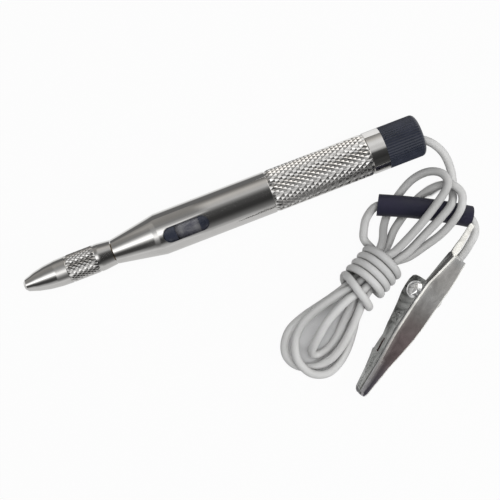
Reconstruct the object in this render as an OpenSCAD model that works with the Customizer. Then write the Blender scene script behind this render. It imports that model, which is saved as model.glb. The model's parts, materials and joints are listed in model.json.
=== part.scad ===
// Automotive test light: nickel-plated pen, wound lead with a loose sleeve, alligator clip.
// Millimetres. X runs along the pen from the tip to the cap, Z is up.
// The origin is under the middle of the pen, at the height of the floor.

/* [Pen] */
// Outside diameter of the barrel and the cap
pen_d = 11.8; // [10:0.1:14]
// Length of the pen from the guard's tip to the cap's end
pen_len = 116.4; // [100:0.1:130]
// Length of the bullet-shaped tip guard
guard_len = 26.2; // [22:0.1:30]
// Largest diameter of the tip guard
guard_d = 7.8; // [7:0.1:9]
// Length of the barrel's nose cone
nose_len = 13.4; // [10:0.1:16]
// Gap between the guard and the barrel
guard_gap = 0.3; // [0.2:0.1:0.5]

/* [Window] */
// Length of the window slot in the barrel
window_len = 13; // [10:0.1:15]
// Width of the window slot
window_w = 4.3; // [3:0.1:5]
// Turn of the window from straight up, towards -Y
window_turn = 16; // [0:1:40]

/* [Grip] */
// Start of the knurled band along X
grip_start = 14; // [10:0.5:18]
// Number of knurl grooves in each direction round the barrel
grip_starts = 30; // [20:2:40]
// Number of knurl steps along the band
grip_steps = 27; // [16:1:32]
// Height of the knurl's points over its grooves
grip_depth = 0.3; // [0.15:0.05:0.5]

/* [Cap] */
// Length of the cap's head behind the barrel
cap_len = 10.9; // [8:0.1:14]
// Number of axial ribs on the cap
cap_ribs = 48; // [24:2:60]
// Depth of the grooves between the ribs
cap_groove = 0.22; // [0.1:0.02:0.4]

/* [Lead] */
// Outside diameter of the lead
cord_d = 2.3; // [2:0.1:3]
// Outside diameter of the five wrapping turns
wrap_d = 13; // [12:0.1:14]
// Outside diameter of the loose sleeve
sleeve_d = 6; // [5:0.1:7]
// Bore of the loose sleeve
sleeve_bore = 5; // [4:0.1:5.4]

/* [Clip] */
// Thickness of the clip's sheet metal
plate = 0.5; // [0.4:0.05:0.7]
// Depth of the clip's teeth
tooth_depth = 0.6; // [0.3:0.05:0.8]
// Diameter of the clip's rivet
rivet_d = 2; // [1.6:0.1:2.4]

/* [Hidden] */

pen_r = pen_d / 2;
tip_x = -pen_len / 2;
cap_x = pen_len / 2 - cap_len;
guard_x = tip_x + guard_len;
nose_x = guard_x + guard_gap;
shoulder_x = nose_x + nose_len;
window_x = -10.8;
grip_pitch = PI * pen_r / (grip_starts * tan(30));
grip_len = grip_steps * grip_pitch;
bore_r = 4.9;
cord_r = cord_d / 2;

plating = [0.78, 0.77, 0.74];
navy = [0.13, 0.14, 0.2];
grey = [0.8, 0.8, 0.79];
brass = [0.8, 0.66, 0.38];
steel = [0.62, 0.63, 0.64];

// Wrapping turns: middle, direction of their axis, half length
wrap_at = [31.9, -31.1, 6.5];
wrap_yaw = 27.9;
wrap_half = 5.8;

// Clip: middle of the rivet and the three turns of the lying clip
clip_at = [43.4, -41.7, 6];
clip_yaw = 35;
clip_rise = 7;
clip_roll = 35;

// Middle line of each stretch of the lead
lead_pts = [[45.6, 0, 5.9], [51.5, 0, 5.9], [55, -0.3, 5.9], [58.3, -1.7, 5.9], [61, -4.3, 5.5],
    [62.8, -8, 4.3], [63, -13, 3.3], [61.3, -18, 4.2], [58.8, -21, 8.2], [55, -23.2, 9.1],
    [49, -26.2, 8.2], [43, -29, 7.7], [37.5, -30.3, 7.6]];
upper_1_pts = [[35.6, -26.2, 6.1], [38.4, -23.6, 3.6], [40.5, -20, 1.4], [43, -17, 1.3],
    [47.6, -13.4, 1.4], [52.3, -10.9, 3], [56.6, -10.5, 5.8], [59.5, -12.3, 8.1], [59.8, -15.2, 9.4],
    [57, -18, 9.6], [49, -23, 9.3], [40, -27.4, 8.8], [36.4, -28.2, 8.6]];
upper_2_pts = [[35.9, -27.8, 4], [39.3, -25.7, 1.8], [43, -22, 1.2], [49, -18, 1.2],
    [53, -16, 1.4], [57.2, -15.1, 3.9], [61, -16, 6.3], [62.6, -19, 7.6], [61.4, -22.2, 8.5],
    [58.8, -24.7, 8.3], [54, -27.5, 6.9], [48.6, -29.2, 5.6], [43, -30.5, 5], [37.5, -30.4, 4.9]];
lower_1_pts = [[26, -31.2, 5.2], [19.5, -33.3, 3.9], [14.5, -34.5, 3], [10, -35.7, 2],
    [5.5, -37.7, 1.3], [2.7, -41, 1.2], [2, -44.5, 1.2], [3.7, -47.8, 1.2], [7.5, -49.7, 1.4],
    [12, -49.6, 2.7], [16, -47.8, 4], [20.5, -44.2, 5.1], [24.5, -40, 6.3], [28.2, -35.9, 7.4]];
lower_2_pts = [[26.4, -32.3, 8.4], [20.5, -33.2, 8.2], [14, -34.9, 7.3], [9.5, -37, 6.2],
    [6.3, -40.2, 5.2], [4.7, -44, 4.5], [4.8, -47.5, 4.1], [7, -51.2, 3.5], [11, -52.7, 2.7],
    [15, -51.3, 2], [18.5, -48.6, 1.3], [21.5, -45, 1.2], [24, -41.5, 1.5], [26.5, -38.3, 3.2],
    [28, -35.1, 4.4]];
lower_3_pts = [[27.4, -34.2, 9.5], [23, -35, 10.4], [16, -38.3, 10.5], [12.5, -41.2, 9.2],
    [10, -43.8, 6.8], [9, -45.7, 3.8], [10.5, -47, 1.6], [13.5, -46.6, 1.2], [17, -44.5, 1.2],
    [20.5, -41, 1.8], [24, -37.3, 4], [27, -33.3, 6.4]];
tail_pts = [[34, -25, 3.2], [33.7, -21.6, 3.9], [34.4, -19.2, 4.6], [36.5, -16, 5.5], [40.2, -14.2, 6.4],
    [47, -16.5, 5.8], [53.5, -19.5, 5], [60, -23, 4], [63, -26, 3.7], [63.6, -28.6, 3.9],
    [62.6, -31.1, 4.8], [60.4, -32.9, 5.8], [57.6, -34.7, 7.2], [55.5, -35.9, 7.2],
    [53.9, -36.7, 7.2], [51.9, -38.1, 6.9]];

// Loose sleeve: left end, bow radius and turns, slant of the cut at the left end
sleeve_at = [39.5, -13.7, 6.7];
sleeve_yaw = -27.7;
sleeve_drop = 6.8;
sleeve_cut = 15;
sleeve_chord = 27.2;
sleeve_bow = 158;
sleeve_sweep = 2 * asin(sleeve_chord / 2 / sleeve_bow);

// Clip stations along the jaws: [x, half width, cheek depth, fold radius]
tooth_x0 = -31.4;
tooth_pitch = 0.94;
tooth_count = 12;
pivot_v = 2.9;
lug_r = 2.2;
dimple_x = -8.4;

function half_w(x) = lookup(x, [[-32.6, 0.9], [-32.2, 1.3], [-31.4, 1.7], [-22, 2.6], [-13, 4.1],
    [-8, 4.35], [-2, 4.45], [4, 4.45], [7, 4], [13.4, 2.9]]);
function mid_y(x) = lookup(x, [[-8, -0.2], [-3, 0], [3, 0], [7, -0.4], [13.4, -0.7], [14, 0.3],
    [18, 0.1], [23, 0]]);
function drop(x) = lookup(x, [[13.4, 0], [14, 1.9], [18, 2.4], [23, 2.9]]);
function tooth_line(x) = lookup(x, [[-31.4, 2.3], [-20, 2.9]]);
function tooth_v(x, k) = tooth_line(x) - (k % 2 == 0 ? 0 : tooth_depth);
function fixed_front() = concat([[-32.6, 0.9, 1.2, 0.6], [-32.2, 1.3, 1.8, 0.7]],
    [for (k = [0:2 * tooth_count]) let (x = tooth_x0 + k * tooth_pitch / 2)
        [x, half_w(x), tooth_v(x, k), 0.8]]);
function fixed_rear() = concat([for (s = [[-19.9, 2.2], [-15.7, 2.2], [-15.4, 3.8], [-12, 4.4],
    [-8, 5.1], [-5, 5.8], [-2.7, 6.5], [-0.5, 6.8], [1.5, 6.8], [2.8, 6.4], [3.4, 5.6],
    [3.65, 4], [3.8, 1.3], [7, 1.7], [10, 2.1], [13.4, 2.4]]) [s.x, half_w(s.x), s.y, 0.8]],
    [[14, 1.2, 0.9, 0.6], [16.3, 1.2, 0.8, 0.6], [18, 1, 0.7, 0.5], [23, 0.85, 0.7, 0.5],
    [23.3, 0.7, 0.6, 0.5]]);
// Moving jaw: [x, half width, top of the cheeks, outside of the back, fold radius]
function moving_front() = concat([[-32.6, 0.9, 1.9, 2.7, 0.5], [-32.2, 1.3, 2, 3, 0.6]],
    [for (k = [0:2 * tooth_count]) let (x = tooth_x0 + k * tooth_pitch / 2)
        [x, half_w(x), tooth_v(x, k) + 0.12, lookup(x, [[-31.4, 3.2], [-26, 3.9], [-20, 5.2]]),
        0.6]]);
function moving_rear() = [[-19.8, 2.7, 3.1, 5.2, 0.8], [-17.6, 2.75, 3.5, 5.3, 0.8],
    [-15.8, 2.85, 3.4, 5.2, 0.8], [-12, 3.2, 3.2, 5.1, 0.8], [-8, 3.45, 2.6, 5.3, 0.8],
    [-3.5, 3.6, 2.2, 5.5, 0.8], [-1.6, 3.6, 2.2, 5.5, 0.8]];

// One U-shaped loop of 16 points for a channel opening downwards
function fold_loop(w, d, f, t) = let (c = f * (1 - cos(45)), e = f - (f - t) * cos(45))
    [[w, -d], [w, -f], [w - c, -c], [w - f, 0], [f - w, 0], [c - w, -c], [-w, -f], [-w, -d],
    [t - w, -d], [t - w, -f], [e - w, -e], [f - w, -t], [w - f, -t], [w - e, -e], [w - t, -f],
    [w - t, -d]];
function fixed_ring(s) = [for (p = fold_loop(s[1], s[2], s[3], plate))
    [s[0], p.x + mid_y(s[0]), pivot_v + p.y - drop(s[0])]];
function moving_ring(s) = [for (p = fold_loop(s[1], s[3] - s[2], s[4], plate))
    [s[0], p.x + mid_y(s[0]), pivot_v - s[3] - p.y]];
function ring_sides(n, m) = [for (i = [0:n - 2]) for (j = [0:m - 1])
    let (a = i * m + j, b = i * m + (j + 1) % m) each [[a, b, b + m], [a, b + m, a + m]]];
function u_caps(n) = [for (k = [0:6]) each [[k, 15 - k, 14 - k, k + 1],
    [for (q = [k + 1, 14 - k, 15 - k, k]) (n - 1) * 16 + q]]];
function flip(faces) = [for (f = faces) [for (k = [len(f) - 1:-1:0]) f[k]]];

// Round tube along a list of points
function unit(v) = v / norm(v);
function tangent(p, i) = unit(p[min(i + 1, len(p) - 1)] - p[max(i - 1, 0)]);
function side_of(t) = unit(cross(t, abs(t.z) > 0.9 ? [1, 0, 0] : [0, 0, 1]));
function tube_ring(c, t, r, m) = let (s = side_of(t), u = cross(s, t))
    [for (k = [0:m - 1]) c + r * (s * cos(k * 360 / m) + u * sin(k * 360 / m))];
function tube_faces(n, m) = concat([[for (k = [0:m - 1]) k]],
    [for (f = ring_sides(n, m)) [f[2], f[1], f[0]]],
    [[for (k = [m - 1:-1:0]) (n - 1) * m + k]]);

module tube(p, r, m = 8) {
    n = len(p);
    polyhedron([for (i = [0:n - 1]) each tube_ring(p[i], tangent(p, i), r, m)],
        flip(tube_faces(n, m)), convexity = 6);
}

// Helix of wire whose ends run flat, along Z
function helix(r, z0, z1, turns, steps) = [for (i = [0:turns * steps])
    let (a = i * 360 / steps) [r * cos(a), r * sin(a), z0 + (z1 - z0) * i / (turns * steps)]];
module wire_helix(r, wire, z0, z1, turns, steps = 10, m = 6) {
    tube(helix(r, z0, z1, turns, steps), wire, m);
}

module on_axis() translate([0, 0, pen_r]) rotate([0, 90, 0]) children();
module turned(profile, sides = 24) on_axis() rotate_extrude($fn = sides) polygon(profile);
module clip_pose() translate(clip_at) rotate([0, 0, clip_yaw]) rotate([0, -clip_rise, 0])
    rotate([clip_roll, 0, 0]) children();

// Diamond knurl as a closed ring: points on the crossings, grooves between them
module knurl_ring(x0, r, inner, starts, steps, pitch, depth) {
    n = steps;
    pts = concat([for (i = [0:n]) for (j = [0:2 * starts - 1])
        let (a = j * 180 / starts, top = (i + j) % 2 == 1 && i > 0 && i < n,
            q = top ? r : r - depth)
        [x0 + i * pitch, q * cos(a), pen_r + q * sin(a)]],
        [for (i = [0, n]) for (j = [0:2 * starts - 1]) let (a = j * 180 / starts)
        [x0 + i * pitch, inner * cos(a), pen_r + inner * sin(a)]]);
    m = 2 * starts;
    base = (n + 1) * m;
    faces = concat(
        [for (i = [0:n - 1]) for (j = [0:m - 1]) let (a = i * m + j, b = i * m + (j + 1) % m)
            each ((i + j) % 2 == 0 ? [[a, a + m, b], [b, a + m, b + m]]
            : [[a, a + m, b + m], [a, b + m, b]])],
        [for (j = [0:m - 1]) let (k = (j + 1) % m) each [[j, k, base + k], [j, base + k, base + j]]],
        [for (j = [0:m - 1]) let (k = (j + 1) % m, o = n * m)
            each [[o + j, base + m + k, o + k], [o + j, base + m + j, base + m + k]]],
        [for (j = [0:m - 1]) let (k = (j + 1) % m)
            each [[base + j, base + k, base + m + k], [base + j, base + m + k, base + m + j]]]);
    polyhedron(pts, faces, convexity = 8);
}

// Bullet-shaped guard, turned, bored for the needle and knurled in a narrow band
module tip_guard() color(plating) {
    r = guard_d / 2;
    band = -45.2;
    difference() {
        turned([[0, tip_x], [1.1, tip_x + 0.15], [1.8, tip_x + 0.8], [2.75, tip_x + 3.6],
            [r - 0.5, tip_x + 6.6], [r - 0.1, tip_x + 10], [r, band], [r - 0.35, band],
            [r - 0.35, band + 8.6], [r, band + 8.6], [r, guard_x - 3.6], [3.5, guard_x],
            [0, guard_x]], 48);
        on_axis() translate([0, 0, guard_x - 9]) cylinder(r = 2.55, h = 10, $fn = 24);
        on_axis() translate([0, 0, tip_x + 2.4]) cylinder(r = 1.5, h = 20, $fn = 24);
    }
    knurl_ring(band, r, r - 0.5, 26, 11, 8.6 / 11, 0.22);
}

// Barrel with nose cone, stepped bore, two windows and the recess of the grip band
module barrel() color(plating) {
    difference() {
        turned([[2.4, nose_x], [3.5, nose_x], [pen_r, shoulder_x], [pen_r, grip_start],
            [pen_r - 0.45, grip_start], [pen_r - 0.45, grip_start + grip_len],
            [pen_r, grip_start + grip_len], [pen_r, cap_x], [bore_r, cap_x],
            [bore_r, shoulder_x + 0.8], [2.4, shoulder_x]], 60);
        for (turn = [0, 180]) window_cut(turn);
    }
    knurl_ring(grip_start, pen_r, pen_r - 0.6, grip_starts, grip_steps, grip_pitch, grip_depth);
}

module window_cut(turn) {
    half = (window_len - window_w) / 2;
    translate([window_x, 0, pen_r]) rotate([window_turn + turn, 0, 0]) translate([0, 0, 2.5]) {
        for (x = [-half, half]) translate([x, 0, 0]) cylinder(d = window_w, h = 5, $fn = 32);
        translate([-half, -window_w / 2, 0]) cube([2 * half, window_w, 5]);
    }
}

// Brass bush pressed into the nose, with the guard's spigot in front
module nose_bush() color(brass) turned([[1, guard_x - 7.4], [2.5, guard_x - 7.4],
    [2.5, guard_x - 0.1], [2.4, guard_x - 0.1], [2.4, shoulder_x - 0.3],
    [1, shoulder_x - 0.3]]);

module needle() color(steel) turned([[0, tip_x + 3.6], [0.25, tip_x + 3.8], [1, tip_x + 9],
    [1, shoulder_x - 1.4], [0, shoulder_x - 1.4]]);

// Moulded carrier of the bulb, open under both windows
module bulb_carrier() color(navy) difference() {
    turned([[4.45, -17.2], [4.8, -17.2], [4.8, 5.4], [4.65, 5.4], [4.65, -5], [4.45, -5]]);
    for (turn = [0, 180]) translate([-10.4, 0, pen_r]) rotate([window_turn + turn, 0, 0])
        translate([-3.4, -2.6, 2]) cube([6.8, 5.2, 4]);
}

module bulb_glass() color([0.86, 0.88, 0.9]) turned([[0, -15.6], [1.6, -15.3], [2.9, -14.4],
    [3.8, -12.9], [4.1, -11], [4.3, -4.9], [4.3, -3.4], [3.9, -3.4], [3.9, -5],
    [3.7, -11], [3.4, -12.7], [2.6, -14], [1.4, -14.8], [0, -15.1]]);

// Two support wires and the filament between them
module bulb_filament() color(steel) {
    for (y = [-1.3, 1.3]) translate([-11, y, pen_r]) rotate([0, 90, 0])
        cylinder(r = 0.2, h = 8.4, $fn = 16);
    translate([-10.8, -1.7, pen_r]) rotate([-90, 0, 0]) cylinder(r = 0.3, h = 3.4, $fn = 16);
}

// Screw shell of the bulb with rolled ridges
module bulb_base() color(brass) turned([[0, -2.6], [4.3, -2.6], [4.3, -4.9], [4.6, -4.9],
    [4.6, -1.6], [4.3, -1.2], [4.6, -0.8], [4.6, 0.6], [4.3, 1], [4.6, 1.4], [4.6, 2.6],
    [3.6, 4], [3, 4], [3, -2.2], [0, -2.2]]);

module bulb_insulator() color([0.12, 0.12, 0.14]) turned([[1.6, 4], [3.8, 4], [2.6, 5],
    [1.6, 5]]);

module bulb_contact() color(steel) turned([[0, 3.2], [1.6, 3.2], [1.6, 5], [3, 5], [3, 5.9],
    [0, 5.9]]);

module insulating_tube() color([0.9, 0.88, 0.8]) turned([[4.1, 6], [4.8, 6], [4.8, 41],
    [4.1, 41]]);

module contact_spring() color(steel) on_axis() wire_helix(2.85, 0.35, 6.3, 40.2, 13, 9, 5);

// Navy cap: spigot in the barrel, ribbed head with a rounded edge and the lead's hole
module end_cap() color(navy) difference() {
    union() {
        intersection() {
            on_axis() translate([0, 0, cap_x + 0.02]) linear_extrude(cap_len) polygon(
                [for (k = [0:2 * cap_ribs - 1]) let (a = k * 180 / cap_ribs,
                    q = pen_r - (k % 2 == 0 ? 0 : cap_groove)) [q * cos(a), q * sin(a)]]);
            turned([[0, cap_x - 1], [pen_r, cap_x - 1], [pen_r, cap_x + cap_len - 1.4],
                [pen_r - 0.12, cap_x + cap_len - 0.93], [pen_r - 0.45, cap_x + cap_len - 0.5],
                [pen_r - 0.95, cap_x + cap_len - 0.22], [pen_r - 1.6, cap_x + cap_len - 0.1],
                [0, cap_x + cap_len]]);
        }
        turned([[0, 41.3], [4.85, 41.3], [4.85, cap_x + 0.1], [0, cap_x + 0.1]]);
    }
    on_axis() translate([0, 0, 41]) cylinder(r = 3, h = 4, $fn = 48);
    on_axis() translate([0, 0, 44]) cylinder(r = cord_r + 0.1, h = 20, $fn = 32);
    on_axis() translate([0, 0, 51]) cylinder(r = 3.6, h = 20, $fn = 48);
}

module lead_terminal() color(brass) turned([[0, 40.6], [2.9, 40.6], [2.9, 41.6], [1.1, 41.6],
    [1.1, 45.6], [0, 45.6]]);

module cord_lead() color(grey) tube(lead_pts, cord_r);

module cord_upper_1() color(grey) tube(upper_1_pts, cord_r);

module cord_upper_2() color(grey) tube(upper_2_pts, cord_r);

module cord_lower_1() color(grey) tube(lower_1_pts, cord_r);

module cord_lower_2() color(grey) tube(lower_2_pts, cord_r);

module cord_lower_3() color(grey) tube(lower_3_pts, cord_r);

// Five wrapping turns round the bundle, closed
module cord_wrap() color(grey) translate(wrap_at) rotate([0, 0, wrap_yaw]) rotate([0, 90, 0])
    rotate_extrude($fn = 24) union() {
        translate([0, -wrap_half]) square([5.4, 2 * wrap_half]);
        for (k = [-2:2]) translate([wrap_d / 2 - cord_r, k * 2.32]) circle(r = cord_r, $fn = 10);
    }

module cord_tail() color(grey) tube(tail_pts, cord_r);

// Loose sleeve, slightly bowed, its left end cut at a slant
module lead_sleeve() color(navy) translate(sleeve_at) rotate([0, sleeve_drop, sleeve_yaw])
    difference() {
        translate([sleeve_chord / 2, -sleeve_bow * cos(sleeve_sweep / 2), 0])
            rotate([0, 0, 90 - sleeve_sweep / 2])
            rotate_extrude(angle = sleeve_sweep, $fn = 180) translate([sleeve_bow, 0])
            difference() {
                circle(d = sleeve_d, $fn = 24);
                circle(d = sleeve_bore, $fn = 16);
            }
        translate([0, 0, sleeve_d / 2]) rotate([0, -sleeve_cut, 0]) translate([-6, -5, -10])
            cube([6, 10, 12]);
    }

// Fixed jaw: folded channel with teeth, pivot lugs, tail strip and a notch for the lead,
// and a shallow pressed dimple in each cheek
module jaw_fixed() color(plating) clip_pose() difference() {
    stations = concat(fixed_front(), fixed_rear());
    polyhedron([for (s = stations) each fixed_ring(s)],
        flip(concat(ring_sides(len(stations), 16), u_caps(len(stations)))), convexity = 10);
    rotate([90, 0, 0]) cylinder(d = rivet_d, h = 20, center = true, $fn = 32);
    translate([12.6, -2.1, 0.85]) rotate([0, 90, 0]) cylinder(r = cord_r + 0.3, h = 3.4, $fn = 32);
    for (side = [-1, 1]) translate([dimple_x, mid_y(dimple_x) + side * (half_w(dimple_x) + 1.9), 0.2])
        sphere(r = 2.1, $fn = 48);
}

// Moving jaw: folded channel with teeth, nested lugs and the short inner lever
module jaw_moving() color(plating) clip_pose() difference() {
    stations = concat(moving_front(), moving_rear());
    union() {
        polyhedron([for (s = stations) each moving_ring(s)],
            concat(ring_sides(len(stations), 16), u_caps(len(stations))), convexity = 10);
        for (y = [-3.6, 3.6 - plate]) translate([0, y + plate, 0]) rotate([90, 0, 0])
            linear_extrude(plate) union() {
                circle(r = lug_r, $fn = 40);
                polygon([[-3, 0.6], [0, 2], [0, -2.19], [-3, -2.4]]);
            }
        translate([0, 0, 0.4]) linear_extrude(plate) polygon([[1.2, -3.4], [1.9, -3.4],
            [3.4, -2.4], [7, -1.9], [7, 1.9], [3.4, 2.4], [1.9, 3.4], [1.2, 3.4], [1.2, 2.2],
            [2.5, 1.8], [2.5, -1.8], [1.2, -2.2]]);
    }
    rotate([90, 0, 0]) cylinder(d = rivet_d + 0.1, h = 20, center = true, $fn = 32);
}

// Rivet with a domed head on each side
module clip_rivet() color(plating) clip_pose() rotate([90, 0, 0]) rotate_extrude($fn = 24)
    polygon([[0, -5.8], [1.1, -5.7], [2, -5.3], [2.6, -4.45], [1, -4.45], [1, 4.45],
    [2.6, 4.45], [2, 5.3], [1.1, 5.7], [0, 5.8]]);

// Torsion spring: coil round the rivet, both legs running back under the tail
module clip_spring() color(steel) clip_pose() tube(concat([[6, -1.5, 2.1], [2, -1.5, 1.9]],
    [for (i = [0:30]) let (a = 90 - i * 36) [1.6 * cos(a), -1.3 + 2.6 * i / 30, 1.6 * sin(a)]],
    [[1.6, 1.5, 1.3], [6, 1.5, 1.2]]), 0.25, 6);

// Crimp that holds the lead's end under the back of the tail
module lead_crimp() color(plating) clip_pose() translate([8.8, -1.65, 0.92]) rotate([0, 90, 0])
    difference() {
        cylinder(r = 1.5, h = 3, $fn = 32);
        translate([0, 0, -1]) cylinder(r = cord_r, h = 5, $fn = 32);
    }

tip_guard();
barrel();
nose_bush();
needle();
bulb_carrier();
bulb_glass();
bulb_filament();
bulb_base();
bulb_insulator();
bulb_contact();
insulating_tube();
contact_spring();
end_cap();
lead_terminal();
cord_lead();
cord_upper_1();
cord_upper_2();
cord_lower_1();
cord_lower_2();
cord_lower_3();
cord_wrap();
cord_tail();
lead_sleeve();
jaw_fixed();
jaw_moving();
clip_rivet();
clip_spring();
lead_crimp();
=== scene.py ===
# Test light: pen, wound lead, loose sleeve and alligator clip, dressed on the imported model.
import json
import math

import bpy
from mathutils import Matrix, Vector


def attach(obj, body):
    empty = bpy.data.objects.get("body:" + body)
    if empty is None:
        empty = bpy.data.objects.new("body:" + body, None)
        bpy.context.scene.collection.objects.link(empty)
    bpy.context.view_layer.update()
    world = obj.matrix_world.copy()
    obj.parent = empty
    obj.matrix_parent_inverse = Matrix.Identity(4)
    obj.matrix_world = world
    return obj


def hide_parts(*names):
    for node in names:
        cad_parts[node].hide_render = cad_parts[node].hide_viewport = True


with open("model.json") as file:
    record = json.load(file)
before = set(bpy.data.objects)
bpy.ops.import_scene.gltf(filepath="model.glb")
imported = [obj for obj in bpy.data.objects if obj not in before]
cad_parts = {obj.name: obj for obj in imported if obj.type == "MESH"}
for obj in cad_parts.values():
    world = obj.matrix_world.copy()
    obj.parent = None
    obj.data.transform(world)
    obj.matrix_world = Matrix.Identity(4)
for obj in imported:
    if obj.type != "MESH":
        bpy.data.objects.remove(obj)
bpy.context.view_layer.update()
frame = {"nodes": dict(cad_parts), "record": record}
nodes = frame["nodes"]
mm = 0.001

# camera: straight down, turned so that the pen runs up to the right
cameraSettings = {
    "place": (3.15 * mm, -12.97 * mm, 273 * mm),
    "turn": -21.05,
    "lens": 70.0,
    "sensor": 36,
    "near": 0.01,
    "far": 20,
}


def makeCamera(s):
    data = bpy.data.cameras.new("camera")
    data.lens = s["lens"]
    data.sensor_width = s["sensor"]
    data.clip_start = s["near"]
    data.clip_end = s["far"]
    camera = bpy.data.objects.new("camera", data)
    camera.location = s["place"]
    camera.rotation_euler = (0, 0, math.radians(s["turn"]))
    bpy.context.scene.collection.objects.link(camera)
    bpy.context.scene.camera = camera
    bpy.context.scene.view_settings.view_transform = "Standard"


makeCamera(cameraSettings)
print("camera set")

# the lead: one cord from the cap, through the hank and its wrapping turns, to the clip. The
# diameter and the length are in metres, the wrap and the routes in millimetres and degrees
cordSettings = {
    "diameter": 2.3 * mm,
    "length": 0.66,
    "wrapAt": (31.9, -31.1, 0),
    "wrapHeight": 6.5,
    "wrapTurn": 27.9,
    "wrapRadius": 5.35,
    "wrapStart": -5.5,
    "wrapPitch": 2.27,
    "firstAngle": -90,
    "lastAngle": 1763,
    "angleStep": 18,
    "lean": 1.05,
    "leanBelow": 0.3,
    "yaw": 0.55,
    "spread": 2.4,
    "startSlide": 2.4,
    "roundness": 5,
    "smoothness": 8,
}


def metres(points):
    return [Vector(p) * mm for p in points]


leadRoute = metres([[49, 0, 5.9], [51.5, 0, 5.9], [55, -0.3, 5.9], [58.3, -1.7, 5.9],
    [61, -4.3, 5.5], [62.8, -8, 4.3], [63, -13, 3.3], [61.3, -18, 4.2], [58.8, -21, 8.2],
    [55, -23.2, 9.1], [49, -26.2, 8.2], [43, -29, 7.7], [37.5, -30.3, 7.6]])
upperRoute1 = metres([[35.6, -26.2, 6.1], [38.4, -23.6, 3.6], [40.5, -20, 1.4], [43, -17, 1.3],
    [47.6, -13.4, 1.4], [52.3, -10.9, 3], [56.6, -10.5, 5.8], [59.5, -12.3, 8.1],
    [59.8, -15.2, 9.4], [57, -18, 9.6], [49, -23, 9.3], [40, -27.4, 8.8], [36.4, -28.2, 8.6]])
upperRoute2 = metres([[35.9, -27.8, 4], [39.3, -25.7, 1.8], [43, -22, 1.2], [49, -18, 1.2],
    [53, -16, 1.4], [57.2, -15.1, 3.9], [61, -16, 6.3], [62.6, -19, 7.6], [61.4, -22.2, 8.5],
    [58.8, -24.7, 8.3], [54, -27.5, 6.9], [48.6, -29.2, 5.6], [43, -30.5, 5], [37.5, -30.4, 4.9]])
lowerRoute1 = metres([[26, -31.2, 5.2], [19.5, -33.3, 3.9], [14.5, -34.5, 3], [10, -35.7, 2],
    [5.5, -37.7, 1.3], [2.7, -41, 1.2], [2, -44.5, 1.2], [3.7, -47.8, 1.2], [7.5, -49.7, 1.4],
    [12, -49.6, 2.7], [16, -47.8, 4], [20.5, -44.2, 5.1], [24.5, -40, 6.3], [28.2, -35.9, 7.4]])
lowerRoute2 = metres([[26.4, -32.3, 8.4], [20.5, -33.2, 8.2], [14, -34.9, 7.3], [9.5, -37, 6.2],
    [6.3, -40.2, 5.2], [4.7, -44, 4.5], [4.8, -47.5, 4.1], [7, -51.2, 3.5], [11, -52.7, 2.7],
    [15, -51.3, 2], [18.5, -48.6, 1.3], [21.5, -45, 1.2], [23.5, -42, 1.3]])
lowerRoute3 = metres([[27.4, -34.2, 9.5], [23, -35, 10.4], [16, -38.3, 10.5], [12.5, -41.2, 9.2],
    [10, -43.8, 6.8], [9, -45.7, 3.8], [10.5, -47, 1.6], [13.5, -46.6, 1.2], [17, -44.5, 1.2],
    [20.5, -41, 1.8], [24, -37.3, 4], [27, -33.3, 6.4]])
tailRoute = metres([[33.7, -21.6, 3.9], [34.4, -19.2, 4.6], [36.5, -16, 5.5], [40.2, -14.2, 6.4],
    [47, -16.5, 5.8], [53.5, -19.5, 5], [60, -23, 4], [63, -26, 3.7], [63.6, -28.6, 3.9],
    [62.6, -31.1, 4.8], [60.4, -32.9, 5.8], [57.6, -34.7, 7.2], [55.5, -35.9, 7.2],
    [53.9, -36.7, 7.2], [51.9, -38.1, 6.9]])
# where the lead passes through the wrap between one loop and the next: along, across, height
wrapPasses = [(0, -1.25, 8.5), (0, 0.4, 5.3), (0, -2.3, 6.2), (0, 2.7, 5.6), (0, 1.05, 8.6),
    (-9.8, -3.8, 1.25)]


def inWrap(along, across, height):
    # a point given along the wrap's axis, across it and over the floor
    turn = Matrix.Rotation(math.radians(cordSettings["wrapTurn"]), 3, "Z")
    return (Vector(cordSettings["wrapAt"]) + turn @ Vector((along, across, height))) * mm


def wrapTurns(s):
    # five turns over the bundle: the first one stands away, the others lie side by side
    points = []
    angle = s["firstAngle"]
    while angle <= s["lastAngle"]:
        a = math.radians(angle)
        turn = angle / 360
        along = s["wrapStart"] + s["wrapPitch"] * turn + s["yaw"] * math.cos(a)
        # the lean comes in over the middle half of the first turn
        fade = min(1, max(0, 2 * turn - 0.5))
        lean = s["lean"] if math.sin(a) > 0 else s["lean"] * s["leanBelow"]
        along += lean * fade * math.sin(a)
        if turn < 0:
            along += s["startSlide"] * angle / 90 - s["wrapPitch"] * turn
        elif turn < 1:
            swing = (1 - math.cos(a)) / 2
            along -= s["spread"] * (swing if turn < 0.5 else swing * swing)
        points.append(inWrap(along, s["wrapRadius"] * math.cos(a),
            s["wrapHeight"] + s["wrapRadius"] * math.sin(a)))
        angle += s["angleStep"]
    return points


def wholeRoute():
    # the loops in their order, each followed by its place in the wrap, then the turns and the end
    route = []
    loops = [leadRoute, lowerRoute3, upperRoute2, lowerRoute1[::-1], upperRoute1, lowerRoute2]
    for loop, place in zip(loops, wrapPasses):
        route += loop + [inWrap(*place)]
    return route + wrapTurns(cordSettings) + tailRoute


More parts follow.
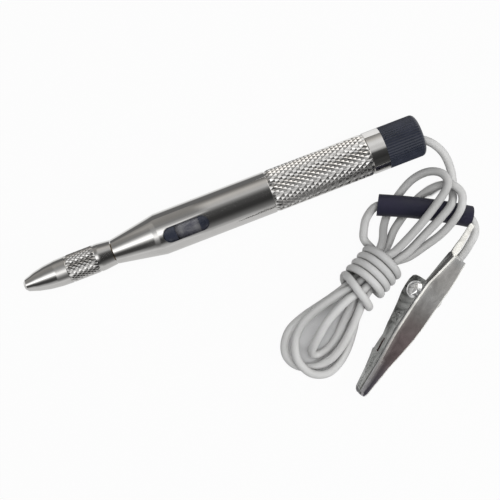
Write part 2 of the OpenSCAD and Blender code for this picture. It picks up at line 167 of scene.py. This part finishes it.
def makeCord(s):
    route = wholeRoute()
    curve = bpy.data.curves.new("lead", "CURVE")
    curve.dimensions = "3D"
    # the depth is one and each point has the cord's radius, so that the curve's box fits it
    curve.bevel_depth = 1
    curve.bevel_resolution = s["roundness"]
    curve.resolution_u = s["smoothness"]
    curve.use_fill_caps = True
    spline = curve.splines.new("BEZIER")
    spline.bezier_points.add(len(route) - 1)
    for i, point in enumerate(spline.bezier_points):
        before = route[max(i - 1, 0)]
        after = route[min(i + 1, len(route) - 1)]
        here = route[i]
        direction = (after - before).normalized()
        point.co = here
        point.radius = s["diameter"] / 2
        point.handle_left_type = "FREE"
        point.handle_right_type = "FREE"
        point.handle_left = here - direction * (here - before).length / 3
        point.handle_right = here + direction * (after - here).length / 3
    cord = bpy.data.objects.new("lead", curve)
    bpy.context.scene.collection.objects.link(cord)
    return cord, route


cord, route = makeCord(cordSettings)
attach(cord, "lead")
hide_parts("cord_lead", "cord_upper_1", "cord_upper_2", "cord_lower_1", "cord_lower_2",
    "cord_lower_3", "cord_wrap", "cord_tail")
print("lead laid out,", len(route), "points")

# dressed pieces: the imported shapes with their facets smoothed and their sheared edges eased,
# angles in degrees and lengths in millimetres
dressWays = {"weldReach": 0.002, "flatWithin": 1, "squareWithin": 60, "easeRows": 2,
    "flatWeight": 100}
dressSettings = [
    {"node": "tip_guard", "piece": "tipGuard", "body": "guard", "slot": "nickel", "smooth": 22},
    {"node": "barrel", "piece": "barrelTube", "body": "pen", "slot": "nickel", "smooth": 22},
    {"node": "bulb_glass", "piece": "bulbGlass", "body": "pen", "slot": "glass", "smooth": 40},
    {"node": "end_cap", "piece": "ribbedCap", "body": "lead", "slot": "navy", "smooth": 22},
    {"node": "lead_sleeve", "piece": "looseSleeve", "body": "lead", "slot": "navy", "smooth": 30},
    {"node": "jaw_fixed", "piece": "fixedJaw", "body": "lead", "slot": "clip_nickel",
        "smooth": 50, "ease": 0.07, "easeAngle": 60},
    {"node": "jaw_moving", "piece": "movingJaw", "body": "jaw", "slot": "clip_nickel",
        "smooth": 50, "ease": 0.07, "easeAngle": 60},
    {"node": "clip_rivet", "piece": "clipRivet", "body": "lead", "slot": "clip_nickel",
        "smooth": 60},
]


def dressCopy(s):
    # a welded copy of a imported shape, which then stands for it
    piece = bpy.data.objects.new(s["piece"], nodes[s["node"]].data.copy())
    bpy.context.scene.collection.objects.link(piece)
    bpy.ops.object.select_all(action="DESELECT")
    piece.select_set(True)
    bpy.context.view_layer.objects.active = piece
    bpy.ops.mesh.customdata_custom_splitnormals_clear()
    bpy.ops.object.mode_set(mode="EDIT")
    bpy.ops.mesh.select_all(action="SELECT")
    bpy.ops.mesh.remove_doubles(threshold=dressWays["weldReach"] * mm)
    bpy.ops.mesh.tris_convert_to_quads(face_threshold=math.radians(dressWays["flatWithin"]),
        shape_threshold=math.radians(dressWays["squareWithin"]))
    bpy.ops.object.mode_set(mode="OBJECT")
    if "ease" in s:
        eased = piece.modifiers.new("eased", "BEVEL")
        eased.width = s["ease"] * mm
        eased.segments = dressWays["easeRows"]
        eased.limit_method = "ANGLE"
        eased.angle_limit = math.radians(s["easeAngle"])
        bpy.ops.object.modifier_apply(modifier="eased")
    bpy.ops.object.shade_smooth_by_angle(angle=math.radians(s["smooth"]))
    if "ease" in s:
        flat = piece.modifiers.new("flat", "WEIGHTED_NORMAL")
        flat.weight = dressWays["flatWeight"]
        flat.keep_sharp = True
        bpy.ops.object.modifier_apply(modifier="flat")
    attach(piece, s["body"])
    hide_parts(s["node"])
    return piece


dressed = {s["node"]: dressCopy(s) for s in dressSettings}
shown = {name: dressed.get(name, nodes[name]) for name in nodes}
print(len(dressed), "pieces dressed")


# nodes: what goes into one is a plain value or another node's output, linked as it is made
def feed(tree, node, values):
    for key, value in values.items():
        if isinstance(value, bpy.types.NodeSocket):
            tree.links.new(value, node.inputs[key])
        else:
            node.inputs[key].default_value = value


def addNode(tree, kind, values=None, settings=None):
    node = tree.nodes.new(kind)
    for key, value in (settings or {}).items():
        setattr(node, key, value)
    feed(tree, node, values or {})
    return node


def asColour(tone):
    # a grey or a colour in the form that a socket takes
    return (*(tone if isinstance(tone, tuple) else [tone] * 3), 1)


def addMath(tree, operation, *values):
    node = addNode(tree, "ShaderNodeMath", dict(enumerate(values)), {"operation": operation})
    return node.outputs["Value"]


def addMix(tree, share, first, second, blend="MIX"):
    mix = addNode(tree, "ShaderNodeMix", {"Factor": share, "A": first, "B": second},
        {"data_type": "RGBA", "blend_type": blend})
    return mix.outputs["Result"]


def addShaderMix(tree, share, first, second):
    return addNode(tree, "ShaderNodeMixShader", {0: share, 1: first, 2: second}).outputs["Shader"]


def addRange(tree, value, start, end, low=0, high=1):
    # low up to the start, high past the end, and in proportion between them
    return addNode(tree, "ShaderNodeMapRange", {"Value": value, "From Min": start,
        "From Max": end, "To Min": low, "To Max": high}).outputs["Result"]


def addTones(tree, value, tones, unit=1):
    # the grey or colour at a value, from a list of places and tones
    low, high = tones[0][0], tones[-1][0]
    ramp = addNode(tree, "ShaderNodeValToRGB",
        {"Fac": addRange(tree, value, low * unit, high * unit)})
    stops = ramp.color_ramp.elements
    for at, tone in tones[1:-1]:
        stops.new((at - low) / (high - low))
    for stop, (at, tone) in zip(stops, tones):
        stop.color = asColour(tone)
    return ramp.outputs["Color"]


def addPlace(tree):
    return addNode(tree, "ShaderNodeTexCoord").outputs["Object"]


def addLocal(tree, vector, at, turn, unit):
    # a place or a direction as a frame of its own sees it, its turn in degrees
    return addNode(tree, "ShaderNodeMapping", {"Vector": vector, "Location": Vector(at) * unit,
        "Rotation": [math.radians(a) for a in turn], "Scale": [unit] * 3},
        {"vector_type": "TEXTURE"}).outputs["Vector"]


def addAxes(tree, vector):
    return addNode(tree, "ShaderNodeSeparateXYZ", {"Vector": vector}).outputs


# shader node groups, shared by the materials
grainSettings = {
    "grain": {"Detail": 4, "Roughness": 0.6},
    "smudge": {"Detail": 5, "Roughness": 0.65},
    "smudgeRange": (0.35, 0.7),
}
# the rays with which a material feels what is near
closeSamples = 16


def newGroup(name, inputs, outputs):
    # a group whose sockets are all plain numbers
    group = bpy.data.node_groups.new(name, "ShaderNodeTree")
    for label, value in inputs.items():
        socket = group.interface.new_socket(label, in_out="INPUT", socket_type="NodeSocketFloat")
        socket.default_value = value
    for label in outputs:
        group.interface.new_socket(label, in_out="OUTPUT", socket_type="NodeSocketFloat")
    return group, addNode(group, "NodeGroupInput").outputs, addNode(group, "NodeGroupOutput")


def makeGrainGroup(s):
    # fine grain as a height, and broad smudges as a mask, both in the object's own space
    group, given, end = newGroup("surfaceGrain", {"Grain Scale": 900, "Smudge Scale": 90},
        ["Height", "Smudge"])
    place = addPlace(group)
    grain = addNode(group, "ShaderNodeTexNoise",
        {"Vector": place, "Scale": given["Grain Scale"], **s["grain"]})
    smudge = addNode(group, "ShaderNodeTexNoise",
        {"Vector": place, "Scale": given["Smudge Scale"], **s["smudge"]})
    feed(group, end, {"Height": grain.outputs["Fac"],
        "Smudge": addRange(group, smudge.outputs["Fac"], *s["smudgeRange"])})
    return group


def makeCloseGroup():
    # a painted shade that falls from one to the darkest value where other surfaces are near
    group, given, end = newGroup("closeShade",
        {"Reach": 0.004, "Closed": 0.1, "Open": 0.7, "Darkest": 0.25}, ["Shade"])
    near = addNode(group, "ShaderNodeAmbientOcclusion", {"Distance": given["Reach"]},
        {"samples": closeSamples})
    feed(group, end, {"Shade": addRange(group, near.outputs["AO"], given["Closed"],
        given["Open"], given["Darkest"])})
    return group


grainGroup = makeGrainGroup(grainSettings)
closeGroup = makeCloseGroup()


def addClose(tree, values):
    return addNode(tree, "ShaderNodeGroup", values, {"node_tree": closeGroup}).outputs["Shade"]


def makeFinish(name, s):
    # one satin or polished finish: two tones mixed by the smudges, grain in the bump
    material = bpy.data.materials.new(name)
    material.use_nodes = True
    tree = material.node_tree
    grain = addNode(tree, "ShaderNodeGroup", {"Grain Scale": s["grainScale"],
        "Smudge Scale": s["smudgeScale"]}, {"node_tree": grainGroup}).outputs
    bump = addNode(tree, "ShaderNodeBump", {"Height": grain["Height"], "Strength": s["bump"],
        "Distance": s["bumpDepth"] * mm})
    feed(tree, tree.nodes["Principled BSDF"], {
        "Base Color": addMix(tree, grain["Smudge"], asColour(s["colour"]),
            asColour(s["smudgeColour"])),
        "Roughness": addRange(tree, grain["Smudge"], 0, 1, *s["roughness"]),
        "Metallic": s.get("metallic", 0),
        "Specular IOR Level": s.get("specular", 0.5),
        "Transmission Weight": s.get("transmission", 0),
        "IOR": s.get("ior", 1.5),
        "Normal": bump.outputs["Normal"],
    })
    return material


finishSettings = {
    "nickel": {"colour": (0.715, 0.705, 0.69), "smudgeColour": (0.66, 0.65, 0.635), "metallic": 1,
        "roughness": (0.05, 0.12), "grainScale": 2500, "smudgeScale": 160, "bump": 0.15,
        "bumpDepth": 0.01},
    "clipNickel": {"colour": (0.66, 0.66, 0.65), "smudgeColour": (0.58, 0.58, 0.57), "metallic": 1,
        "roughness": (0.12, 0.26), "grainScale": 700, "smudgeScale": 120, "bump": 0.12,
        "bumpDepth": 0.01},
    "navy": {"colour": (0.023, 0.027, 0.04), "smudgeColour": (0.032, 0.036, 0.055),
        "roughness": (0.26, 0.38), "grainScale": 2200, "smudgeScale": 200, "bump": 0.25,
        "bumpDepth": 0.02},
    "navySleeve": {"colour": (0.013, 0.014, 0.024), "smudgeColour": (0.02, 0.018, 0.036),
        "specular": 0.35, "roughness": (0.5, 0.68), "grainScale": 1500, "smudgeScale": 90,
        "bump": 0.25, "bumpDepth": 0.02},
    "brightPlate": {"colour": (0.97, 0.97, 0.96), "smudgeColour": (0.85, 0.85, 0.85),
        "metallic": 0.85, "roughness": (0.03, 0.1), "grainScale": 900, "smudgeScale": 300,
        "bump": 0.1, "bumpDepth": 0.02},
    "leadGrey": {"colour": (0.67, 0.668, 0.66), "smudgeColour": (0.62, 0.617, 0.605),
        "roughness": (0.42, 0.55), "grainScale": 1600, "smudgeScale": 110, "bump": 0.2,
        "bumpDepth": 0.02},
    "brass": {"colour": (0.34, 0.24, 0.12), "smudgeColour": (0.2, 0.14, 0.08), "metallic": 1,
        "roughness": (0.2, 0.35), "grainScale": 1500, "smudgeScale": 180, "bump": 0.2,
        "bumpDepth": 0.01},
    "steel": {"colour": (0.56, 0.56, 0.57), "smudgeColour": (0.48, 0.48, 0.5), "metallic": 1,
        "roughness": (0.18, 0.3), "grainScale": 2000, "smudgeScale": 200, "bump": 0.2,
        "bumpDepth": 0.01},
    "blackInsulator": {"colour": (0.03, 0.03, 0.035), "smudgeColour": (0.05, 0.05, 0.055),
        "roughness": (0.2, 0.35), "grainScale": 1500, "smudgeScale": 200, "bump": 0.1,
        "bumpDepth": 0.01},
    "cardTube": {"colour": (0.62, 0.56, 0.44), "smudgeColour": (0.52, 0.46, 0.36),
        "roughness": (0.6, 0.75), "grainScale": 900, "smudgeScale": 150, "bump": 0.4,
        "bumpDepth": 0.03},
    "bulbGlass": {"colour": (0.06, 0.06, 0.09), "smudgeColour": (0.24, 0.24, 0.25),
        "transmission": 0.2, "ior": 1.45, "roughness": (0.12, 0.25), "grainScale": 600,
        "smudgeScale": 260, "bump": 0.3, "bumpDepth": 0.05},
}
finish = {name: makeFinish(name, s) for name, s in finishSettings.items()}


# lead: painted shade where strands touch, darker as other surfaces come near, and a little greyer
# in the upper loops
leadShading = {
    "close": {"Reach": 3.5 * mm, "Closed": 0.1, "Open": 0.72, "Darkest": 0.25},
    "alongTones": [(30, 1), (40, 0.76), (58, 0.76), (62, 1)],
}


def shadeLead(s):
    tree = finish["leadGrey"].node_tree
    shader = tree.nodes["Principled BSDF"]
    tone = shader.inputs["Base Color"].links[0].from_socket
    along = addTones(tree, addAxes(tree, addPlace(tree))["X"], s["alongTones"], mm)
    # painted shade where other surfaces are near
    tone = addMix(tree, 1, tone, addClose(tree, s["close"]), "MULTIPLY")
    feed(tree, shader, {"Base Color": addMix(tree, 1, tone, along, "MULTIPLY")})


shadeLead(leadShading)

# sheet of the clip: its tone along the jaw is a painted reflection, its bends, far edge and tail
# top carry painted highlights, and its cheek carries painted shade. Places are in the clip's own
# directions and in millimetres, each mask is a low end, a high end and a soft edge, and each fade
# or set of tones is a start, an end and the values there
clipSheet = {
    "at": (43.4, -41.7, 6),
    "turn": (35, -7, 35),
    "alongTones": [(-33, (0.36, 0.34, 0.42)), (-27, (0.34, 0.31, 0.35)), (-20, (0.35, 0.28, 0.28)),
        (-13, (0.36, 0.29, 0.29)), (-8, (0.39, 0.34, 0.33)), (-5, (0.56, 0.53, 0.51)),
        (0, (0.85, 0.84, 0.82)), (6, (0.78, 0.76, 0.73)), (11, (0.9, 0.88, 0.85)),
        (13, (0.94, 0.94, 0.93)), (24, (0.94, 0.94, 0.93))],
    "cheekShadeTone": (0.56, 0.57, 0.56),
    "underBendShadeTone": (0.2, 0.2, 0.2),
    "bendHighlightTone": (0.96, 0.94, 0.88),
    "bendHighlightMetallic": 0.2,
    "bendHighlightFade": (-24, -8, 0.45, 1),
    "masks": {"up": (0.3, 2, 0.1), "cheek": (0.7, 2, 0.06), "underBend": (0.7, 0.95, 0.03),
        "bend": (0.08, 0.62, 0.06), "farEdge": (-2, -0.2, 0.08), "tailAlong": (13.6, 40, 0.5),
        "tailAcross": (-0.35, 3, 0.3)},
    "mottle": {"Scale": 0.22, "Detail": 4, "Roughness": 0.6, "Distortion": 0.6},
    "mottleTones": (0.3, 0.7, 0.74, 1.2),
    "close": {"Reach": 4 * mm, "Closed": 0.04, "Open": 0.3, "Darkest": 0.15},
}


def makeClipSheet(s):
    material = finish["clipNickel"].copy()
    material.name = "clipSheet"
    tree = material.node_tree
    place = addLocal(tree, addPlace(tree), s["at"], s["turn"], mm)
    axes = addAxes(tree, place)
    facing = addNode(tree, "ShaderNodeVectorTransform",
        {"Vector": addNode(tree, "ShaderNodeNewGeometry").outputs["Normal"]},
        {"vector_type": "NORMAL", "convert_from": "WORLD", "convert_to": "OBJECT"})
    normal = addAxes(tree, addLocal(tree, facing.outputs["Vector"], (0, 0, 0), s["turn"], 1))

    def window(value, name):
        # one inside the mask's range, falling to nothing over its edge
        low, high, edge = s["masks"][name]
        return addMath(tree, "MULTIPLY", addRange(tree, value, low - edge, low),
            addRange(tree, value, high + edge, high))

    # painted highlights on the near bend, the far edge and the top of the tail, and painted shade
    # on the near cheek and under the bend
    facesUp = window(normal["Z"], "up")
    bend = addMath(tree, "MULTIPLY", window(normal["Y"], "bend"), facesUp)
    bend = addMath(tree, "MULTIPLY", bend, addRange(tree, axes["X"], *s["bendHighlightFade"]))
    tail = addMath(tree, "MULTIPLY", window(axes["X"], "tailAlong"), facesUp)
    tail = addMath(tree, "MINIMUM", tail, window(axes["Y"], "tailAcross"))
    # the painted highlight mask, from the bend, the tail's top and the far edge
    bright = addMath(tree, "MAXIMUM", bend, tail)
    bright = addMath(tree, "MAXIMUM", bright, window(normal["Y"], "farEdge"))
    # painted reflection: the tone along the jaw stands for what the sheet reflects
    tone = addTones(tree, axes["X"], s["alongTones"])
    # painted shade on the near cheek, which faces aside, and darker painted shade just under the
    # bend
    tone = addMix(tree, window(normal["Y"], "cheek"), tone, asColour(s["cheekShadeTone"]))
    tone = addMix(tree, window(normal["Y"], "underBend"), tone, asColour(s["underBendShadeTone"]))
    # painted highlight: a pale cream tone, less metallic
    tone = addMix(tree, bright, tone, asColour(s["bendHighlightTone"]))
    # the sheet is mottled, and painted shade darkens it inside the jaws, where other surfaces are
    # near
    mottle = addNode(tree, "ShaderNodeTexNoise", {"Vector": place, **s["mottle"]})
    shade = addMath(tree, "MULTIPLY", addClose(tree, s["close"]),
        addRange(tree, mottle.outputs["Fac"], *s["mottleTones"]))
    feed(tree, tree.nodes["Principled BSDF"], {
        "Base Color": addMix(tree, 1, tone, shade, "MULTIPLY"),
        "Metallic": addRange(tree, bright, 0, 1, 1, s["bendHighlightMetallic"]),
    })
    return material


finish["clipSheet"] = makeClipSheet(clipSheet)
slotFinish = {"nickel": "nickel", "clip_nickel": "clipNickel", "navy": "navy",
    "lead_grey": "leadGrey", "brass": "brass", "steel": "steel", "black": "blackInsulator",
    "card": "cardTube", "glass": "bulbGlass"}


def paint(piece, material):
    piece.data.materials.clear()
    piece.data.materials.append(material)


for part in frame["record"]["subparts"]:
    paint(nodes[part["node"]], finish[slotFinish[part["material_slot"]]])
    paint(shown[part["node"]], finish[slotFinish[part["material_slot"]]])
paint(cord, finish["leadGrey"])
for name in ("jaw_fixed", "jaw_moving"):
    paint(shown[name], finish["clipSheet"])
paint(shown["lead_sleeve"], finish["navySleeve"])
paint(shown["clip_rivet"], finish["brightPlate"])
print("finishes on", len(nodes), "nodes")

# stage: pale floor, light tent for the reflections, soft lamps
stageSettings = {
    "floorSize": 4,
    "floorDrop": 0.2 * mm,
    "floorGlow": 0.95,
    "floorTone": 0.6,
    "tentRadius": 0.5,
    "tentLength": 3,
    "tentSides": 96,
    "tentGlow": 1.7,
    "fill": 0.15,
    "fillColour": (0.95, 0.97, 1),
}
lampSettings = [
    {"name": "overhead", "place": (0.05, 0, 0.9), "size": 0.6, "power": 5.52},
    {"name": "side", "place": (0.6, -0.45, 0.45), "size": 0.5, "power": 2.88},
]
# where the hank shades the floor between its strands, in millimetres: an area with its axis, the
# half widths along that axis, and the tone of the floor there, a painted shade; there the floor's
# white glow also gives way, so that its real shadow shows
floorShades = [
    {"at": (14, -43, 0), "turn": 32, "middle": 0.8, "tone": 0.62, "edge": 0.6,
        "halfWidths": [(-12.2, -2), (-10.8, 3), (-8.5, 6.6), (-4.4, 8.2), (0.5, 7.7), (4.9, 6.4),
            (9.8, 4.6), (18, 2.2), (19, -2)]},
    {"at": (57, -15.5, 0), "turn": 8.5, "middle": 0, "tone": 0.22, "edge": 0.8,
        "halfWidths": [(-4.2, -2), (-3, 0.8), (-1, 1.4), (2, 1.2), (3.4, 0.6), (4.2, -2)]},
]
# the smallest half width, what a ramp from 0 to 1 spans, and how near something has to stand
floorShading = {"least": -2, "span": 12,
    "close": {"Reach": 16 * mm, "Closed": 0.74, "Open": 0.84, "Darkest": 0}}
# brightness that the plating reflects, by the angle from straight up towards +Y, for the
# strips of the tent that hang over the barrel, past its rear end, past its nose and so on
tentTones = {
    "barrel": [(-90, 0.6), (-80, 0.42), (-72, 0.27), (-60, 0.17), (-50, 0.11), (-42, 0.065),
        (-34, 0.042), (-20, 0.045), (-8, 0.065), (8, 0.085), (16, 0.16), (24, 0.3), (34, 0.55),
        (60, 0.62), (68, 0.5), (74, 0.36), (81, 0.24), (90, 0.17)],
    "rear": [(-90, 0.09), (-81, 0.07), (-67, 0.045), (-53, 0.05), (-41, 0.035), (-29, 0.045),
        (-17, 0.06), (-8, 0.085), (-1, 0.45), (9, 0.78), (22, 0.76), (36, 0.93), (48, 0.88),
        (60, 0.7), (74, 0.42), (84, 0.32), (90, 0.3)],
    "front": [(-90, 0.78), (-78, 0.57), (-67, 0.43), (-59, 0.22), (-52, 0.065), (-40, 0.055),
        (-32, 0.065), (-24, 0.15), (-14, 0.55), (-5, 1.6), (4, 1.8), (14, 1.3), (26, 0.5),
        (38, 0.26), (60, 0.27), (74, 0.3), (90, 0.32)],
    "shade": [(-90, 0.78), (-81, 0.68), (-68, 0.3), (-56, 0.14), (-44, 0.2), (-32, 0.36),
        (-21, 0.7), (-9, 1.33), (2, 1.18), (14, 0.69), (26, 0.44), (39, 0.35), (53, 0.36),
        (68, 0.42), (85, 0.3), (90, 0.28)],
    "bright": [(-90, 0.37), (-60, 0.25), (-20, 0.1), (0, 0.12), (14, 0.7), (28, 1.3),
        (65, 1.7), (80, 1.2), (90, 1.0)],
}
# along the pen, the next strip and the places between which the tent goes over into it
tentStrips = [("rear", 0.06, 0.1), ("bright", 0.2, 0.24), ("front", -0.06, -0.075),
    ("shade", -0.15, -0.165), ("front", -0.225, -0.24)]
# what the plating reflects of the floor, by the distance across the pen, and the same beside the
# grip, with the distances along the pen between which one goes over into the other
floorTones = [(-0.02, 0.67), (0, 0.67), (0.006, 0.9), (0.012, 0.9), (0.0155, 0.45),
    (0.018, 0.17), (0.03, 0.17)]
floorTonesRear = [(-0.02, 0.67), (-0.0057, 0.67), (-0.0014, 0.9), (0.0029, 0.75), (0.0079, 0.6),
    (0.0121, 1), (0.03, 1.1)]
floorRearSpan = (0.018, 0.026)
# a slight warmth in what stands far over on the +Y side, in degrees
warmFrom = 50
warmTint = (1.02, 0.99, 0.95)


def stageMaterial(name, surface):
    # surface makes the nodes and gives back the shader
    material = bpy.data.materials.new(name)
    material.use_nodes = True
    tree = material.node_tree
    tree.nodes.clear()
    addNode(tree, "ShaderNodeOutputMaterial", {"Surface": surface(tree)})
    return material


def warmed(tones, scale):
    # the tones as colours over the scale, slightly warm on the far side
    return [(at, tuple(tone * t / scale for t in (warmTint if at > warmFrom else (1, 1, 1))))
        for at, tone in tones]


def makeTent(s):
    bpy.ops.object.select_all(action="DESELECT")
    bpy.ops.mesh.primitive_cylinder_add(vertices=s["tentSides"], radius=s["tentRadius"],
        depth=s["tentLength"], end_fill_type="NOTHING", rotation=(0, math.pi / 2, 0))
    tent = bpy.context.object
    tent.name = "lightTent"
    bpy.ops.object.transform_apply(location=True, rotation=True, scale=True)

    def fill(tree):
        axes = addAxes(tree, addPlace(tree))
        angle = addMath(tree, "ARCTAN2", axes["Y"], axes["Z"])
        strips = {name: addTones(tree, angle, warmed(tones, s["tentGlow"]), math.radians(1))
            for name, tones in tentTones.items()}
        tone = strips["barrel"]
        for name, start, end in tentStrips:
            tone = addMix(tree, addRange(tree, axes["X"], start, end), tone, strips[name])
        glow = addNode(tree, "ShaderNodeEmission", {"Color": tone, "Strength": s["tentGlow"]})
        return glow.outputs["Emission"]

    paint(tent, stageMaterial("tentCloth", fill))
    tent.visible_camera = False
    tent.visible_diffuse = False
    tent.visible_shadow = False
    tent.visible_transmission = False


def shadeFloor(s, tree, place, share, colour):
    # less of the white glow, so that the real shadow shows, and a greyer floor colour as painted
    # shade inside the shaded areas, as long as something stands over or beside them
    covered = addMath(tree, "SUBTRACT", 1, addClose(tree, s["close"]))
    for area in floorShades:
        axes = addAxes(tree, addLocal(tree, place, area["at"], (0, 0, area["turn"]), mm))
        widths = [(at, (half - s["least"]) / s["span"]) for at, half in area["halfWidths"]]
        limit = addMath(tree, "MULTIPLY_ADD", addTones(tree, axes["X"], widths), s["span"],
            s["least"])
        aside = addMath(tree, "ABSOLUTE", addMath(tree, "SUBTRACT", axes["Y"], area["middle"]))
        inside = addRange(tree, addMath(tree, "SUBTRACT", limit, aside), -area["edge"] / 2,
            area["edge"] / 2)
        shaded = addMath(tree, "MULTIPLY", inside, covered)
        share = addMath(tree, "MULTIPLY", share, addMath(tree, "SUBTRACT", 1, shaded))
        colour = addMix(tree, shaded, colour, asColour(area["tone"]))
    return share, colour


def makeFloor(s):
    bpy.ops.object.select_all(action="DESELECT")
    bpy.ops.mesh.primitive_plane_add(size=s["floorSize"], location=(0, 0, -s["floorDrop"]))
    floor = bpy.context.object
    floor.name = "floor"

    def fill(tree):
        place = addPlace(tree)
        axes = addAxes(tree, place)
        seen = addNode(tree, "ShaderNodeLightPath").outputs
        share = addMath(tree, "MAXIMUM", seen["Is Camera Ray"], seen["Is Transmission Ray"])
        share = addMath(tree, "MULTIPLY", share, s["floorGlow"])
        share, colour = shadeFloor(floorShading, tree, place, share, asColour(s["floorTone"]))
        pale = addNode(tree, "ShaderNodeBsdfDiffuse", {"Color": colour})
        white = addNode(tree, "ShaderNodeEmission", {"Strength": 1})
        tone = addMix(tree, addRange(tree, axes["X"], *floorRearSpan),
            addTones(tree, axes["Y"], floorTones), addTones(tree, axes["Y"], floorTonesRear))
        mirrored = addNode(tree, "ShaderNodeEmission", {"Color": tone, "Strength": 1})
        lit = addShaderMix(tree, share, pale.outputs["BSDF"], white.outputs["Emission"])
        return addShaderMix(tree, seen["Is Glossy Ray"], lit, mirrored.outputs["Emission"])

    paint(floor, stageMaterial("paleFloor", fill))


def makeLamp(s):
    data = bpy.data.lights.new(s["name"], "AREA")
    data.size = s["size"]
    data.energy = s["power"]
    lamp = bpy.data.objects.new(s["name"], data)
    lamp.location = s["place"]
    lamp.rotation_euler = (-Vector(s["place"])).to_track_quat("-Z", "Y").to_euler()
    lamp.visible_glossy = False
    bpy.context.scene.collection.objects.link(lamp)


def makeWorld(s):
    world = bpy.data.worlds.new("studio")
    bpy.context.scene.world = world
    world.use_nodes = True
    tree = world.node_tree
    tree.nodes.clear()
    seen = addNode(tree, "ShaderNodeLightPath").outputs
    direct = addMath(tree, "MAXIMUM", seen["Is Camera Ray"], seen["Is Glossy Ray"])
    direct = addMath(tree, "MAXIMUM", direct, seen["Is Transmission Ray"])
    soft = addNode(tree, "ShaderNodeBackground",
        {"Color": asColour(s["fillColour"]), "Strength": s["fill"]})
    white = addNode(tree, "ShaderNodeBackground", {"Color": asColour(1), "Strength": 1})
    addNode(tree, "ShaderNodeOutputWorld", {"Surface": addShaderMix(tree, direct,
        soft.outputs["Background"], white.outputs["Background"])})


makeTent(stageSettings)
makeFloor(stageSettings)
for s in lampSettings:
    makeLamp(s)
makeWorld(stageSettings)
print("stage lit")
